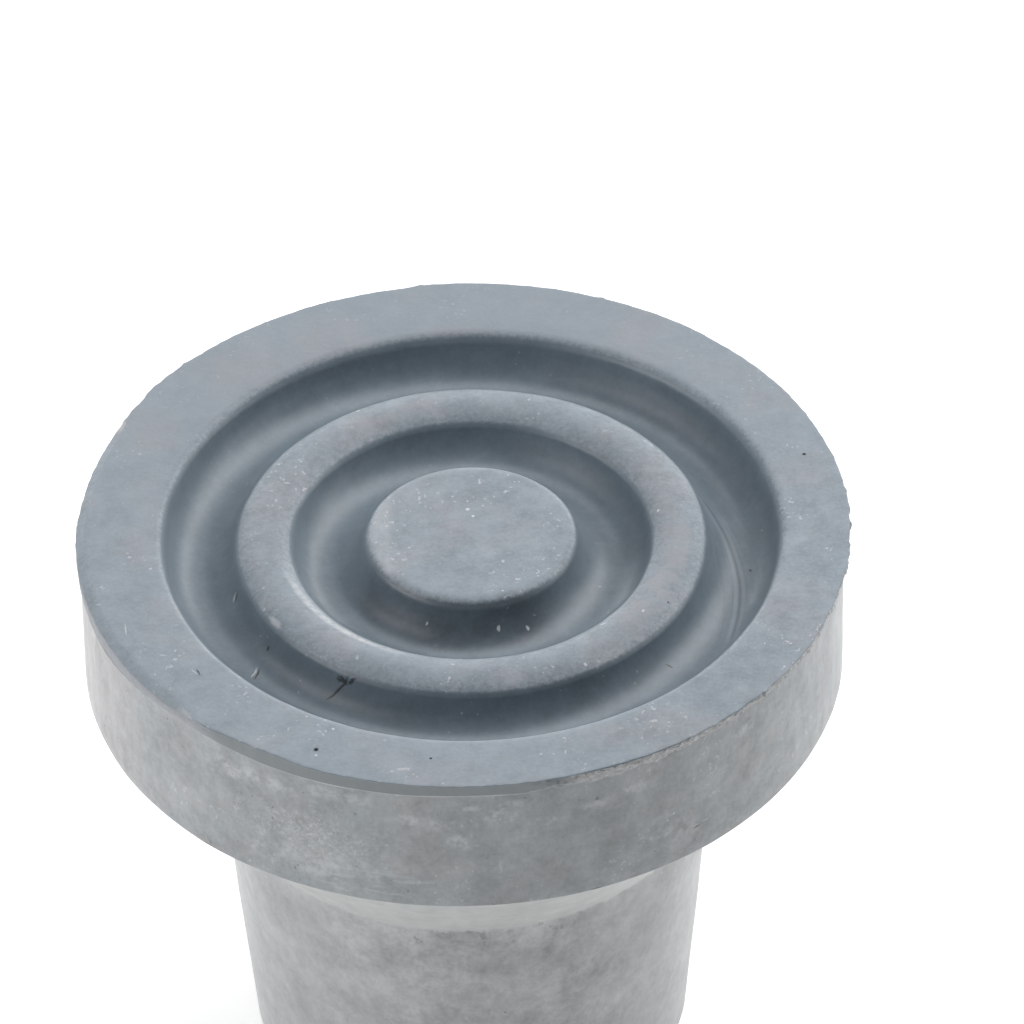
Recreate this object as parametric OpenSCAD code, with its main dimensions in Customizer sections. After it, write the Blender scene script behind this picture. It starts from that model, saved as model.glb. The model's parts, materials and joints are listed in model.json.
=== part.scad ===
// Rubber cane tip: a round tread face with two ring grooves on a short
// flange, and a tapered neck with a blind socket for the end of the shaft.
// It stands on its socket mouth, at z = 0, with the tread face up.
// All lengths are in millimetres.

/* [Whole tip] */
// Height from the socket mouth to the tread face
total_height = 40.2; // [38:0.1:44]
// Diameter of the tread face at its outer lip
tread_d = 50; // [48:0.5:60]

/* [Flange] */
// Height of the flange, lip included
flange_height = 10.6; // [8:0.1:12]
// Height of the trimmed lip around the tread face
lip_height = 1.0; // [0.6:0.1:2]
// How far the lip stands out past the side wall
lip_overhang = 0.35; // [0.1:0.05:0.8]
// How much the side wall draws in from the lip to its lower edge
wall_draft = 0.07; // [0:0.01:0.5]

/* [Neck] */
// Diameter of the neck at the socket mouth
mouth_d = 28.2; // [27:0.1:30]
// Growth of the neck's radius for each millimetre of height
neck_taper = 0.097; // [0.05:0.001:0.11]
// Height of the parting line where the neck starts to flare
flare_start = 19.9; // [17:0.1:22]
// Lean of the flare away from upright, in degrees
flare_angle = 24; // [15:1:30]
// Radius of the fillet between the flare and the flange's underside
flare_fillet = 2.5; // [1:0.1:3]
// Radius of the neck's rounded outer edge at the mouth
mouth_edge_r = 0.5; // [0.2:0.1:1]

/* [Socket] */
// Diameter of the socket, for the shaft it grips
socket_d = 19; // [16:0.5:20]
// Depth of the socket from the mouth to its blind end
socket_depth = 28; // [20:0.5:30]
// Radius of the rounded lead-in at the mouth
lead_in_r = 0.8; // [0.3:0.1:1.2]

/* [Tread] */
// Radius where the flat rim starts to round over into the outer groove
rim_inner_r = 20.43; // [20:0.01:21]
// Radius of that rounded edge
rim_edge_r = 0.6; // [0.3:0.05:0.8]
// Radius of the raised ring's middle line
ring_mid_r = 13.4; // [13:0.1:13.8]
// Width of the ring's flat crest
ring_flat_w = 1.7; // [1.2:0.1:2]
// Radius of the ring's two rounded edges
ring_edge_r = 0.9; // [0.6:0.05:1.1]
// Radius of the centre button's flat top
button_flat_r = 6.45; // [5.5:0.05:7]
// Radius of the button's rounded edge
button_edge_r = 0.45; // [0.3:0.05:0.8]
// Depth of both round-bottomed grooves below the tread face
groove_depth = 2.8; // [2.4:0.1:3.2]
// Sideways shift of the whole tread pattern off the tip's axis, along X
pattern_shift_x = 0.65; // [-1:0.05:1]
// Shift of the pattern along Y
pattern_shift_y = -0.25; // [-1:0.05:1]

/* [Hidden] */
$fn = 180;

tread_r = tread_d / 2;
mouth_r = mouth_d / 2;
socket_r = socket_d / 2;
rubber = [0.56, 0.60, 0.63];
clear = 0.5; // how far a cutter runs past the face it opens
touch = 0.002; // overlap that lets two touching arcs meet cleanly

underside_z = total_height - flange_height;
lip_z = total_height - lip_height;
wall_top_r = tread_r - lip_overhang;
wall_low_r = wall_top_r - wall_draft;
neck_top_r = mouth_r + neck_taper * flare_start;
flare_top_r = neck_top_r + (underside_z - flare_start) * tan(flare_angle);

// Centre of the arc that rounds the mouth's outer edge. The arc touches both
// the mouth's plane and the leaning neck wall.
neck_lean = atan(neck_taper);
mouth_arc_x = mouth_r + neck_taper * mouth_edge_r - mouth_edge_r / cos(neck_lean);

// Centre of the arc that fills the corner between the leaning flare and the
// flange's flat underside. The arc touches both.
fillet_x = flare_top_r + flare_fillet / tan((90 + flare_angle) / 2);
fillet_z = underside_z - flare_fillet;

// A groove's floor is one arc of radius f that runs smoothly into a round edge
// on either side. An edge is an arc of radius e whose top lies in the tread
// face. The two arcs touch when their centres lie this far apart across the
// groove: sqrt(groove_depth * (2 * f + 2 * e - groove_depth)). Solved for the
// edges e1 and e2, whose centres lie width apart, that gives the next two.

// Distance across the groove from the centre of edge e1 to the floor's centre.
function floor_offset(width, e1, e2) = width / 2 + groove_depth * (e1 - e2) / width;
// Radius of the floor, from that distance.
function floor_radius(reach, e1) = (reach * reach / groove_depth - 2 * e1 + groove_depth) / 2;

// Solid outline of the tip without its tread pattern, as radius and height.
module body_outline() {
    difference() {
        polygon([
            [0, 0],
            [mouth_arc_x, 0],
            [mouth_arc_x + mouth_edge_r * cos(neck_lean), mouth_edge_r * (1 - sin(neck_lean))],
            [neck_top_r, flare_start],
            [fillet_x - flare_fillet * cos(flare_angle), fillet_z + flare_fillet * sin(flare_angle)],
            [fillet_x, fillet_z],
            [fillet_x, underside_z],
            [wall_low_r, underside_z],
            [wall_top_r, lip_z],
            [tread_r, lip_z],
            [tread_r, total_height],
            [0, total_height],
        ]);
        translate([fillet_x, fillet_z])
            circle(flare_fillet);
    }
    translate([mouth_arc_x, mouth_edge_r])
        circle(mouth_edge_r);
}

// Section of the blind socket with its rounded lead-in.
module socket_section() {
    translate([0, -clear])
        square([socket_r, socket_depth + clear]);
    difference() {
        translate([0, -clear])
            square([socket_r + lead_in_r, lead_in_r + clear]);
        translate([socket_r + lead_in_r, lead_in_r])
            circle(lead_in_r);
    }
}

// Section of one groove, between a round edge e1 with its centre at radius r1
// and a round edge e2 at the larger radius r2. The tread face is at height 0.
module groove_section(r1, e1, r2, e2) {
    reach = floor_offset(r2 - r1, e1, e2);
    floor_r = floor_radius(reach, e1);
    floor_centre = [r1 + reach, floor_r - groove_depth];
    difference() {
        polygon([
            [r1, clear],
            [r1, -e1],
            floor_centre,
            [r2, -e2],
            [r2, clear],
        ]);
        translate([r1, -e1])
            circle(e1);
        translate([r2, -e2])
            circle(e2);
    }
    translate(floor_centre)
        circle(floor_r + touch);
}

// Both grooves of the tread as one cutter, on their own shifted axis.
module tread_grooves() {
    translate([pattern_shift_x, pattern_shift_y, total_height])
        rotate_extrude() {
            groove_section(button_flat_r, button_edge_r, ring_mid_r - ring_flat_w / 2, ring_edge_r);
            groove_section(ring_mid_r + ring_flat_w / 2, ring_edge_r, rim_inner_r, rim_edge_r);
        }
}

module cane_tip() {
    color(rubber)
        difference() {
            rotate_extrude()
                body_outline();
            rotate_extrude()
                socket_section();
            tread_grooves();
        }
}

cane_tip();
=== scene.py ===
# %% [markdown]
# # A rubber cane tip
# The tip is one moulding of grey rubber: a wide round tread with ring grooves, a short flange,
# and a tapered neck with a blind socket for the end of the stick. It stands upside down on its
# mouth, so the tread looks up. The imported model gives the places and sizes. This lesson builds
# the skin that is seen: the true section, the hand-trimmed lip, and the dusty, handled rubber.
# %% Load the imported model
import json
import math
import random
from collections import namedtuple

import bpy
from mathutils import Matrix, Vector, noise


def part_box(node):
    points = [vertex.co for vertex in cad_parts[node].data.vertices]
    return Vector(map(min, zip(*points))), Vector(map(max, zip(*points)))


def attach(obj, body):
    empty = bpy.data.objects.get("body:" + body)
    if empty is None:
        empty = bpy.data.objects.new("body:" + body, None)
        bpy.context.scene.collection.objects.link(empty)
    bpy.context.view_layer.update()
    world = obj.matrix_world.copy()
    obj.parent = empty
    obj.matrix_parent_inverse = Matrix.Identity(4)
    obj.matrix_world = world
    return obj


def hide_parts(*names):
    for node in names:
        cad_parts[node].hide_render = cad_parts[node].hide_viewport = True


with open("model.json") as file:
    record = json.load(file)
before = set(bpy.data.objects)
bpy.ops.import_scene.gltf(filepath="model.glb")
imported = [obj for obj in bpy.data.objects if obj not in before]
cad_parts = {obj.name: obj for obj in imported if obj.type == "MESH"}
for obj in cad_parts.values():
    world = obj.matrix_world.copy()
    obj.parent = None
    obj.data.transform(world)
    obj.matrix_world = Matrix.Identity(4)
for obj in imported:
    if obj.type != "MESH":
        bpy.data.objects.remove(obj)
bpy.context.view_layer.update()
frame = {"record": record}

# %% [markdown]
# ## Measures
# A turned part is known by a handful of radii and heights. The overall ones come from the packed
# model's box and its socket mount, so the skin can't drift away from the solid. The others are the
# same driving sizes that the solid was drawn from. Everything is in metres, and MM keeps the
# numbers as a maker would say them.
# %% Sizes of the tip
MM = 0.001

low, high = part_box("cane_tip")
mounts = {mount["name"]: mount for mount in frame["record"]["mounts"]}
mouth_z = low.z
face_z = high.z
tread_r = (high.x - low.x) / 2
socket_r = mounts["socket"]["dims"]["r_mm"] * MM

underside_z = face_z - 10.6 * MM
lip_z = face_z - 1.0 * MM
wall_top_r = tread_r - 0.35 * MM
wall_low_r = wall_top_r - 0.07 * MM
neck_taper = 0.097
mouth_r = 14.1 * MM
flare_z = mouth_z + 19.9 * MM
flare_lean = math.radians(24)
socket_depth = 28 * MM
print("tread radius", tread_r, "height", face_z - mouth_z, "socket radius", socket_r)

# %% [markdown]
# ## The section, ring by ring
# On a lathe drawing the tip is one line from the centre of the tread, out over the grooves and the
# lip, down the wall and the neck, and back up inside the socket. Each point of that line becomes a
# ring of the mesh. Straight stretches need few rings and round ones need many, so a helper steps
# along arcs. An arc is given by its centre, its radius and two angles, where 0 points away from
# the axis and 90 points up.
# %% Helpers that list rings
Ring = namedtuple("Ring", "radius height x y")
pattern_x = 0.65 * MM
pattern_y = -0.25 * MM


def line(start, end, steps):
    """Points from start up to and including end, as (radius, height), without start itself."""
    return [
        tuple(a + (b - a) * step / steps for a, b in zip(start, end))
        for step in range(1, steps + 1)
    ]


def arc(centre, radius, start, end, steps):
    """Points along an arc, both ends included. Angles are in degrees."""
    angles = [math.radians(start + (end - start) * step / steps) for step in range(steps + 1)]
    return [
        (centre[0] + radius * math.cos(angle), centre[1] + radius * math.sin(angle))
        for angle in angles
    ]


def rings(points, x=0.0, y=0.0):
    """Turns section points into rings about an axis that may be shifted sideways."""
    return [Ring(radius, height, x, y) for radius, height in points]


print("the pattern's axis is off by", pattern_x / MM, pattern_y / MM, "mm")

# %% [markdown]
# The two grooves have one round floor each. The floor is a single arc that runs smoothly into the
# rounded edge on either side, which is how a ball-nosed cutter leaves a mould. Two arcs touch where
# the distance between their centres is the sum of their radii, so the floor's radius is found by
# halving: too small a floor doesn't reach across, too large a one reaches too far. The ring's crest
# has worn into a dome, so its two edges sit lower than the rim's.
# %% Section of the tread pattern
Edge = namedtuple("Edge", "place depth radius")

groove_depth = 2.8 * MM
button_edge = Edge(6.18 * MM, 0.8 * MM, 0.8 * MM)
ring_middle = 13.4 * MM
ring_half = 1.1 * MM
ring_inner_edge = Edge(ring_middle - ring_half, 1.15 * MM, 0.8 * MM)
ring_outer_edge = Edge(ring_middle + ring_half, 1.15 * MM, 0.8 * MM)
rim_edge = Edge(20.62 * MM, 0.85 * MM, 0.85 * MM)


def reach_from(edge, floor_r):
    """How far sideways a groove's floor centre is from an edge's centre when the arcs touch."""
    drop = groove_depth - floor_r - edge.depth
    return math.sqrt(max((floor_r + edge.radius) ** 2 - drop * drop, 0))


def groove(inner, outer):
    """Centre and radius of the floor arc that touches both edges of a groove."""
    width = outer.place - inner.place
    small, large = 0.5 * MM, 8 * MM
    for _ in range(60):
        floor_r = (small + large) / 2
        if reach_from(inner, floor_r) + reach_from(outer, floor_r) < width:
            small = floor_r
        else:
            large = floor_r
    return (inner.place + reach_from(inner, floor_r), face_z + floor_r - groove_depth), floor_r


def lean_to(start, end):
    """Angle of the line from start to end, in degrees."""
    return math.degrees(math.atan2(end[1] - start[1], end[0] - start[0]))


def centre_of(edge):
    """Centre of an edge's rounding, as (radius, height)."""
    return (edge.place, face_z - edge.depth)


inner_floor, inner_floor_r = groove(button_edge, ring_inner_edge)
outer_floor, outer_floor_r = groove(ring_outer_edge, rim_edge)
print("floor radii", inner_floor_r / MM, outer_floor_r / MM)

# %% [markdown]
# With both floors known, the ends of every arc follow: it stops where it touches the next one, on the
# line between their centres. The crown arc lies on the ring's middle and touches both edges of the
# ring from inside.
# %% Arcs of the tread pattern
button_c, rim_c = centre_of(button_edge), centre_of(rim_edge)
ring_inner_c, ring_outer_c = centre_of(ring_inner_edge), centre_of(ring_outer_edge)

edge_r, edge_depth = ring_inner_edge.radius, ring_inner_edge.depth
crown_r = (ring_half**2 + edge_depth**2 - edge_r**2) / (2 * (edge_depth - edge_r))
crown_c = (ring_middle, face_z - crown_r)
crown_left = lean_to(crown_c, ring_inner_c)
crown_right = lean_to(crown_c, ring_outer_c)

button_stop = lean_to(button_c, inner_floor)
ring_start = lean_to(ring_inner_c, inner_floor)
ring_stop = lean_to(ring_outer_c, outer_floor)
rim_start = lean_to(rim_c, outer_floor)

tread = [(r * MM, face_z) for r in (0.4, 1.3, 2.3, 3.3, 4.3, 5.2, 6.0)]
tread += arc(button_c, button_edge.radius, 90, button_stop, 6)
tread += arc(inner_floor, inner_floor_r, 180 + button_stop, 180 + ring_start, 14)[1:]
tread += arc(ring_inner_c, edge_r, ring_start, crown_left, 8)[1:]
tread += arc(crown_c, crown_r, crown_left, crown_right, 6)[1:]
tread += arc(ring_outer_c, edge_r, crown_right, ring_stop, 8)[1:]
tread += arc(outer_floor, outer_floor_r, 180 + ring_stop, 180 + rim_start, 14)[1:]
tread += arc(rim_c, rim_edge.radius, rim_start, 90, 6)[1:]
print("crown radius", crown_r / MM, "points across the tread pattern", len(tread))

# %% [markdown]
# The rest of the section runs from the flat rim over the lip, down the flange's wall, under the
# flange, down the neck and up into the socket. The lip's corner is worn round by a tenth of a
# millimetre. The rings on the rim and the lip stand close together, because the trimming further
# on needs points to move. The lip hangs lower in some places than in others, so its rings go down
# as far as its lowest place.
# %% Section of the rim, flange, neck and socket
lip_round = 0.1 * MM
lip_low_z = lip_z - 1.45 * MM
wall_round = 0.15 * MM
fillet_r = 2.5 * MM
mouth_round = 0.5 * MM
lead_in_r = 0.8 * MM

neck_top_r = mouth_r + neck_taper * (flare_z - mouth_z)
flare_top_r = neck_top_r + (underside_z - flare_z) * math.tan(flare_lean)
fillet_c = (flare_top_r + fillet_r * math.tan(math.pi / 4 - flare_lean / 2), underside_z - fillet_r)
neck_lean = math.atan(neck_taper)
mouth_c = (
    mouth_r + neck_taper * mouth_round - mouth_round / math.cos(neck_lean),
    mouth_z + mouth_round,
)
lead_in_c = (socket_r + lead_in_r, mouth_z + lead_in_r)
socket_top_z = mouth_z + socket_depth

rim = line((21.4 * MM, face_z), (23.2 * MM, face_z), 3)
rim += line((23.2 * MM, face_z), (tread_r - lip_round, face_z), 10)
lip = arc((tread_r - lip_round, face_z - lip_round), lip_round, 60, 0, 2)
lip += line(lip[-1], (wall_top_r, lip_low_z), 21)
wall = line(lip[-1], (wall_low_r, underside_z + wall_round), 13)
wall += arc((wall_low_r - wall_round, underside_z + wall_round), wall_round, -30, -90, 2)
under = line(wall[-1], (fillet_c[0], underside_z), 4)
under += arc(fillet_c, fillet_r, 90, 180 - math.degrees(flare_lean), 5)[1:]
flare = line(under[-1], (neck_top_r, flare_z), 8)
neck = line((neck_top_r, flare_z), (mouth_r + neck_taper * mouth_round, mouth_z + mouth_round), 20)
neck += arc(mouth_c, mouth_round, -math.degrees(neck_lean), -90, 4)[1:]
mouth = line(neck[-1], (socket_r + lead_in_r, mouth_z), 3)
mouth += arc(lead_in_c, lead_in_r, 270, 180, 4)[1:]
socket = line(mouth[-1], (socket_r, socket_top_z), 5)
socket += line((socket_r, socket_top_z), (0.5 * MM, socket_top_z), 4)

section = rings(tread, pattern_x, pattern_y)
section += rings(rim + lip + wall + under + flare + neck + mouth + socket)
print("rings in all", len(section))

# %% [markdown]
# ## Turning the section into a mesh
# Spin could turn the whole line at once, but the tread pattern sits a little off the tip's axis.
# So the mesh grows the way a potter builds a pot. A small circle is added at the middle of the
# tread. Its edge is extruded, moved to the next height and scaled to the next radius, over and
# over, down to the last small circle at the blind end of the socket. Both small circles are then
# merged to a point, which closes the shell.
# %% Helpers that grow and close a shell
SEGMENTS = 360


def deselect_all():
    """Leaves edit mode if needed and clears the selection, so no CAD node is edited by mistake."""
    if bpy.context.object and bpy.context.object.mode != "OBJECT":
        bpy.ops.object.mode_set(mode="OBJECT")
    bpy.ops.object.select_all(action="DESELECT")


def select_points(piece, wanted):
    """In edit mode, selects the mesh points for which wanted(place) is true, and says how many."""
    bpy.ops.mesh.select_mode(type="VERT")
    bpy.ops.mesh.select_all(action="DESELECT")
    bpy.ops.object.mode_set(mode="OBJECT")
    chosen = [wanted(point.co) for point in piece.data.vertices]
    piece.data.vertices.foreach_set("select", chosen)
    bpy.ops.object.mode_set(mode="EDIT")
    return sum(chosen)


def grow_shell(name, section):
    """Extrudes and scales a circle through every ring of the section."""
    deselect_all()
    first = section[0]
    bpy.ops.mesh.primitive_circle_add(
        vertices=SEGMENTS, radius=first.radius, location=(first.x, first.y, first.height)
    )
    piece = bpy.context.object
    piece.name = name
    bpy.ops.object.transform_apply(location=True)
    bpy.ops.object.mode_set(mode="EDIT")
    bpy.ops.mesh.select_mode(type="EDGE")
    bpy.ops.mesh.select_all(action="SELECT")
    for before, after in zip(section, section[1:]):
        step = (after.x - before.x, after.y - before.y, after.height - before.height)
        bpy.ops.mesh.extrude_edges_move(TRANSFORM_OT_translate={"value": step})
        growth = after.radius / before.radius
        bpy.ops.transform.resize(
            value=(growth, growth, 1), center_override=(after.x, after.y, after.height)
        )
    return piece


def close_pole(piece, ring):
    """Merges the points of a small end ring into one."""
    centre = Vector((ring.x, ring.y, ring.height))
    select_points(piece, lambda place: (place - centre).length < ring.radius * 1.01)
    bpy.ops.mesh.merge(type="CENTER")


print("segments round the tip", SEGMENTS)

# %% [markdown]
# The shell grows and both its ends are closed. Only then is it clear which side is out, so the
# normals are made to point outwards last.
# %% Build the shell
tip = grow_shell("rubber_tip", section)
close_pole(tip, section[0])
close_pole(tip, section[-1])
bpy.ops.mesh.select_all(action="SELECT")
bpy.ops.mesh.normals_make_consistent(inside=False)
bpy.ops.object.mode_set(mode="OBJECT")
print("shell", len(tip.data.vertices), "points", len(tip.data.polygons), "faces")

# %% [markdown]
# ## More points where the knife went
# The lip around the tread was trimmed by hand, and its cuts are far finer than the rings' spacing.
# Only the edges that run round the lip are selected and cut in four. That gives four times the
# points there and nowhere else, and adds no edge across the rings.
# %% Subdivide the lip
dense_r = 24.0 * MM
dense_z = lip_low_z - 0.05 * MM


def from_axis(place):
    """Distance of a place from the tip's axis."""
    return math.hypot(place.x, place.y)


def select_ring_edges(piece, wanted):
    """In edit mode, selects the edges that run round the axis and have both ends wanted."""
    bpy.ops.mesh.select_mode(type="EDGE")
    bpy.ops.mesh.select_all(action="DESELECT")
    bpy.ops.object.mode_set(mode="OBJECT")
    points = piece.data.vertices
    count = 0
    for edge in piece.data.edges:
        a, b = (points[index].co for index in edge.vertices)
        level = abs(a.z - b.z) < 0.001 * MM and abs(from_axis(a) - from_axis(b)) < 0.001 * MM
        edge.select = level and wanted(a) and wanted(b)
        count += edge.select
    bpy.ops.object.mode_set(mode="EDIT")
    return count


deselect_all()
bpy.context.view_layer.objects.active = tip
tip.select_set(True)
bpy.ops.object.mode_set(mode="EDIT")
cut_edges = select_ring_edges(tip, lambda place: from_axis(place) > dense_r and place.z > dense_z)
bpy.ops.mesh.subdivide(number_cuts=3)
bpy.ops.object.mode_set(mode="OBJECT")
print("edges cut in four", cut_edges, "points now", len(tip.data.vertices))

# %% [markdown]
# ## The hand-trimmed lip
# Rubber squeezes out where the two halves of the mould meet, and someone trims that flash off with
# a blade, one short cut after another. Each cut leaves the outline a little nearer or further from
# the axis, with a small tooth where two cuts meet. At the front left the blade made one long clean
# cut, which slants in until it meets the wall. At the front right the flash tore instead, and at
# the left it was left hanging lower, and its corner has worn round. A Displace modifier pushes only
# along the normals, so here the code sets how far each point of the lip is from the axis. Blender's
# own noise and a seeded list of cuts decide that, so the result is the same each time.
# %% Fades and knife cuts
cuts_random = random.Random(11)
CLEAN_CUT = (-129, -76)  # from and to, in degrees round the tip
TORN = (-77, -8)


def fade(value, low, high):
    """0 below low, 1 above high, and a smooth rise between. High may be the smaller one."""
    t = min(max((value - low) / (high - low), 0), 1)
    return t * t * (3 - 2 * t)


def window(value, low, high, soft):
    """1 between low and high, with soft ends outside them."""
    return fade(value, low - soft, low) * fade(value, high + soft, high)


def list_cuts():
    """Cuts round the whole lip: where each starts in degrees, its two offsets, and its tooth."""
    cuts = []
    angle = -180.0
    while angle < 180:
        cuts.append(
            (
                angle,
                cuts_random.uniform(-0.06, 0.06) * MM,
                cuts_random.uniform(-0.06, 0.06) * MM,
                max(0, cuts_random.gauss(0.0, 0.11)) * MM,
            )
        )
        angle += cuts_random.uniform(1.6, 5.5)
    cuts.append((180.0, 0.0, 0.0, 0.0))
    return cuts


cuts = list_cuts()
print("cuts round the lip", len(cuts) - 1)


def cut_offset(angle):
    """How far the cuts put the outline out (+) or in (-) at this angle."""
    index = max(i for i in range(len(cuts) - 1) if cuts[i][0] <= angle)
    start, first, last, tooth = cuts[index]
    share = (angle - start) / (cuts[index + 1][0] - start)
    slant = first + (last - first) * share
    return slant + tooth * fade(angle - start, 1.3, 0.0)


# %% [markdown]
# Three rules shape the lip: how low its lower line is, how far its edge stands out, and how full it
# is between the two. The last one also lets the torn part be ragged and the hanging part droop.
# %% Rules for the trimming
def lip_bottom(angle):
    """Depth of the lip's lower line below the face. The flash hangs lower at the left."""
    from_left = angle - 360 if angle > 90 else angle
    depth = 1.14 + 0.95 * fade(from_left, -138, -166) * fade(from_left, -235, -200)
    depth += 0.06 * math.sin(math.radians(angle * 9))
    return depth * MM


def edge_offset(angle, place):
    """How far the edge of the face stands out from the tread's true radius."""
    seat = math.radians(angle)
    offset = 0.11 * math.cos(seat - math.radians(10))
    offset += -0.2 * window(angle, -126, -119, 5) + 0.1 * window(angle, 142.5, 144.5, 1.5)
    offset += -0.1 * window(angle, 148, 170, 8) - 0.1 * window(angle, 100, 132, 5)
    offset += 0.12 * window(angle, -60, -30, 10)
    fine = noise.noise(Vector((place.x, place.y, 0)) * 1600) * 0.04
    neat = max(window(angle, *CLEAN_CUT, 3), 0.7 * window(angle, -74, -12, 4))
    neat = max(neat, 0.6 * window(angle, 20, 140, 15), 0.85 * window(angle, -200, -135, 10))
    neat = max(neat, 0.85 * window(angle, 158, 200, 10))
    return (offset + fine) * MM + cut_offset(angle) * (1 - 0.85 * neat)


def trim(place):
    """The trimmed place of a point near the lip, and how much that point belongs to the lip."""
    angle = math.degrees(math.atan2(place.y, place.x))
    radius, depth = from_axis(place), face_z - place.z
    clean = window(angle, *CLEAN_CUT, 3)
    torn = window(angle, *TORN, 5)
    hanging = max(window(angle, -200, -143, 12), window(angle, 160, 200, 12))
    out = edge_offset(angle, place)
    if depth < 0.5 * lip_round:
        new_radius = radius + out * fade(radius, 23.3 * MM, 24.6 * MM)
        droop = 0.35 * MM * hanging * fade(radius, 24.2 * MM, 25.2 * MM)
        return new_radius, place.z - droop, hanging * fade(radius, 24.2 * MM, 24.6 * MM)
    bottom = lip_bottom(angle)
    bottom += (noise.noise(place * 1500) * 0.25 + noise.noise(place * 4200) * 0.2 - 0.1) * MM * torn
    share = min(depth / bottom, 1)
    fullness = 1 - share ** (1 + 1.3 * torn + 2 * (1 - clean) * (1 - torn))
    ragged = noise.noise(place * 3400) * 0.11 + noise.noise(place * 7000) * 0.09
    ragged = ragged * MM * torn * fade(share, 1.0, 0.75)
    new_radius = wall_top_r + (tread_r + out - wall_top_r) * fullness + ragged
    droop = 0.31 * MM * hanging * (1 - share)
    in_lip = fade(depth, bottom + 0.04 * MM, bottom - 0.04 * MM)
    return new_radius, place.z - droop, in_lip


print("the lip ends", lip_bottom(-90) / MM, "mm down at the front,", lip_bottom(180) / MM, "at the left")

# %% [markdown]
# Each point of the lip is then moved towards the axis or away from it, and down where the flash
# hangs. The share that each point belongs to the lip is kept as an attribute for the material.
# %% Trim the lip
lip_share = tip.data.attributes.new("lip", "FLOAT", "POINT")
moved = []
for point in tip.data.vertices:
    radius = from_axis(point.co)
    if point.co.z > lip_low_z - 0.01 * MM and radius > 23.2 * MM:
        new_radius, new_z, in_lip = trim(point.co)
        growth = new_radius / radius
        lip_share.data[point.index].value = in_lip
        point.co = (point.co.x * growth, point.co.y * growth, new_z)
        moved.append((new_radius - radius) / MM)
print("lip points", len(moved), "moved from", round(min(moved), 3), "to", round(max(moved), 3), "mm")

# %% [markdown]
# ## Soft unevenness
# Rubber comes out of a mould slightly wavy, and handling leaves it more so. Two Displace modifiers
# with cloud textures do that, one slow and one quick. A vertex group keeps them off the socket and
# the mouth, which have to stay true to grip the stick and to stand flat.
# %% Displace the outside a few hundredths of a millimetre
outside = tip.vertex_groups.new(name="outside")
for point in tip.data.vertices:
    by_mouth = point.co.z < mouth_z + 1 * MM
    in_socket = from_axis(point.co) < mouth_r - 1 * MM and point.co.z < socket_top_z + 1 * MM
    if not (by_mouth or in_socket):
        outside.add([point.index], 1.0, "REPLACE")


def displace(piece, name, grain, strength, group):
    """Adds a cloud-textured Displace modifier and applies it."""
    texture = bpy.data.textures.new(name, type="CLOUDS")
    texture.noise_scale = grain
    texture.noise_depth = 2
    modifier = piece.modifiers.new(name, "DISPLACE")
    modifier.texture = texture
    modifier.texture_coords = "LOCAL"
    modifier.strength = strength
    modifier.mid_level = 0.5
    modifier.vertex_group = group.name
    deselect_all()
    bpy.context.view_layer.objects.active = piece
    piece.select_set(True)
    bpy.ops.object.modifier_apply(modifier=modifier.name)
    print(name, "applied, grain", grain, "strength", strength)


displace(tip, "slow_waves", 7 * MM, 0.10 * MM, outside)
displace(tip, "quick_waves", 1.6 * MM, 0.03 * MM, outside)

# %% [markdown]
# ## What the material needs to know
# Two things about a place decide its finish, and they are easy to store on the mesh as attributes.
# One is how level the surface is there, since hands and floors rub the level crests and leave the
# steep sides alone. The other is the share that belongs to the trimmed lip, stored while trimming.
# %% Store how level each point is
level = tip.data.attributes.new("level", "FLOAT", "POINT")
for point in tip.data.vertices:
    level.data[point.index].value = point.normal.z
print("attributes", [attribute.name for attribute in tip.data.attributes])

# %% [markdown]
# ## Shading and standing in for the solid
# Smooth shading hides the rings, but the crisp edges of the wall have to stay sharp, so only angles
# below 50 degrees are smoothed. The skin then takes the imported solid's place on the same body.
# %% Shade it smooth and let it stand for the solid
deselect_all()
bpy.context.view_layer.objects.active = tip
tip.select_set(True)
bpy.ops.object.shade_smooth_by_angle(angle=math.radians(50))
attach(tip, "root")
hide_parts("cane_tip")
print("piece", tip.name, "with", len(tip.data.polygons), "faces")

# %% [markdown]
# ## Node helpers
# A material is a small graph. These helpers keep each step to one line: add puts a node down and
# connects or fills its sockets, and calc does one sum. Numbers that come in are set on the socket,
# and sockets that come in are linked. All of them draw in the graph that the name tree stands for,
# so each new graph starts by giving it that name.
# %% Short ways to write nodes
def fill(socket, value):
    """Links a socket to the value if that is a socket too, and otherwise sets it."""
    if isinstance(value, bpy.types.NodeSocket):
        tree.links.new(value, socket)
    else:
        socket.default_value = value


def add(kind, inputs=(), **settings):
    """Adds a shader node, sets its options, and fills the sockets given by name or number."""
    node = tree.nodes.new("ShaderNode" + kind)
    node.location = (200 * (len(tree.nodes) % 12), -260 * (len(tree.nodes) // 12))
    for name, value in settings.items():
        setattr(node, name, value)
    for key, value in dict(inputs).items():
        fill(node.inputs[key], value)
    return node


def calc(operation, *values):
    """One sum of a Math node."""
    return add("Math", dict(enumerate(values)), operation=operation).outputs[0]


def vector_calc(operation, *values):
    """One sum of a Vector Math node. A length or a distance comes out as a value."""
    node = add("VectorMath", dict(enumerate(values)), operation=operation)
    return node.outputs["Value" if operation in ("LENGTH", "DISTANCE") else "Vector"]


def ramp(value, low, high, to_low=0.0, to_high=1.0):
    """Smoothly turns a value between low and high into to_low up to to_high."""
    inputs = {"Value": value, "From Min": low, "From Max": high, "To Min": to_low, "To Max": to_high}
    node = add("MapRange", inputs, interpolation_type="SMOOTHSTEP")
    return node.outputs["Result"]


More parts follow.
